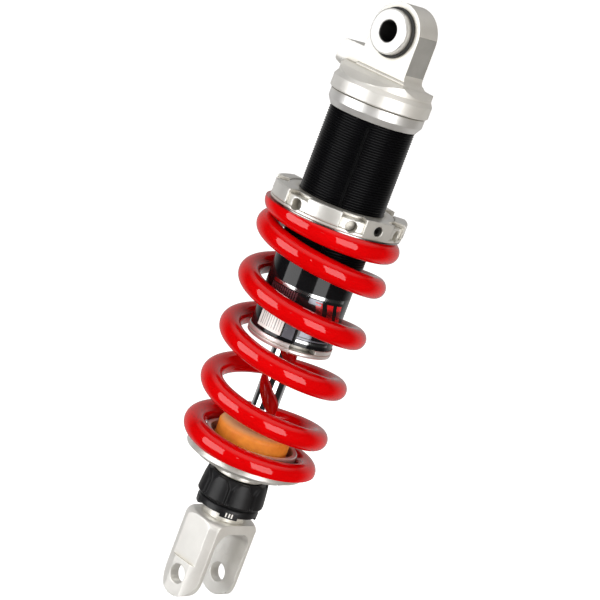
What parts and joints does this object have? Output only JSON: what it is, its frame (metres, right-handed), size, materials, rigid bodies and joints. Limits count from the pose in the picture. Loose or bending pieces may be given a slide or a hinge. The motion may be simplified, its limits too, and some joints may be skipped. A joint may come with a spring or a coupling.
{
  "type": "rear shock absorber",
  "caption": "Coil-over monotube rear shock absorber with a spherical eye at the top, threaded preload ring, coil spring, rebound knob and a forked lower end.",
  "frame": {"origin": "centre of the upper eye's bore", "axes": "+Z along the shaft towards the upper eye, +Y along both bolt bores, gas port boss on the -X side"},
  "size_m": [0.0854, 0.0854, 0.3775],
  "materials": {
    "cast_aluminium": "bead blasted, clear anodised",
    "blasted_aluminium": "satin anodised",
    "turned_aluminium": "fine turned",
    "black_cylinder": "gloss black, satin on the thread",
    "chromed_shaft": "hard chrome, polished",
    "red_spring": "gloss powder coat",
    "seal_rubber": "matt",
    "orange_elastomer": "cellular polyurethane",
    "bearing_steel": "ground",
    "black_screw": "black oxide",
    "black_knob": "satin moulded",
    "black_ring": "satin moulded",
    "bronze": "plain",
    "guide_band": "filled polymer",
    "nylon": "plain"
  },
  "bodies": {
    "cylinder": {"end_eye": "cast_aluminium", "lock_ring": "turned_aluminium", "cylinder_tube": "black_cylinder", "bearing_race": "bearing_steel", "bearing_circlips": "bearing_steel", "gas_plug": "black_screw", "cap_o_ring": "seal_rubber", "seal_head": "turned_aluminium", "guide_bush": "bronze", "shaft_seal": "seal_rubber", "dust_wiper": "seal_rubber", "seal_head_o_ring": "seal_rubber", "retaining_clip": "turned_aluminium", "end_plate": "turned_aluminium"},
    "eye_bearing": {"bearing_ball": "bearing_steel", "eye_collars": "turned_aluminium", "collar_seals": "seal_rubber"},
    "gas_piston": {"floating_piston": "turned_aluminium", "floating_piston_o_ring": "seal_rubber"},
    "spring_carrier": {"slip_washer": "bearing_steel", "coil_spring": "red_spring"},
    "preload": {"preload_ring": "blasted_aluminium", "preload_grub_screw": "black_screw", "grub_pad": "nylon"},
    "shaft": {"piston_rod": "chromed_shaft", "piston": "turned_aluminium", "piston_band": "guide_band", "compression_shims": "bearing_steel", "rebound_shims": "bearing_steel", "piston_nut": "bearing_steel", "topout_bumper": "seal_rubber", "bump_stop": "orange_elastomer", "bump_stop_cup": "turned_aluminium", "lower_spring_seat": "blasted_aluminium", "clevis": "cast_aluminium", "index_ring": "black_ring", "detent_ball": "bearing_steel", "detent_spring": "bearing_steel"},
    "knob": {"rebound_knob": "black_knob"},
    "needle": {"rebound_needle": "bearing_steel", "adjuster_pin": "bearing_steel"}
  },
  "joints": [
    {"name": "stroke", "type": "slide", "parent": "cylinder", "child": "shaft", "axis": [0, 0, 1], "range_m": [0, 0.052], "stiffness_N_per_m": 175000, "springref_m": -0.006, "deforming": ["coil_spring"]},
    {"name": "gas_piston_slide", "type": "slide", "parent": "cylinder", "child": "gas_piston", "axis": [0, 0, 1], "range_m": [0, 0.0064]},
    {"name": "preload_travel", "type": "slide", "parent": "cylinder", "child": "spring_carrier", "axis": [0, 0, 1], "range_m": [0, 0.003]},
    {"name": "preload_turn", "type": "hinge", "parent": "spring_carrier", "child": "preload", "pos_m": [0, 0, -0.107], "axis": [0, 0, 1], "range_deg": [-1, 721]},
    {"name": "eye_swivel", "type": "hinge", "parent": "cylinder", "child": "eye_bearing", "pos_m": [0, 0, 0], "axis": [0, 1, 0], "continuous": true},
    {"name": "rebound_turn", "type": "hinge", "parent": "shaft", "child": "knob", "pos_m": [0, 0, -0.287], "axis": [0, 0, 1], "range_deg": [-135, 135]},
    {"name": "rebound_lift", "type": "slide", "parent": "shaft", "child": "needle", "axis": [0, 0, 1], "range_m": [-0.000447, 0.000447]}
  ],
  "couplings": [
    {"joint": "gas_piston_slide", "follows": "stroke", "ratio": 0.12098},
    {"joint": "preload_turn", "follows": "preload_travel", "rad_per_m": 4188.8},
    {"joint": "rebound_turn", "follows": "rebound_lift", "rad_per_m": 5263.2}
  ]
}
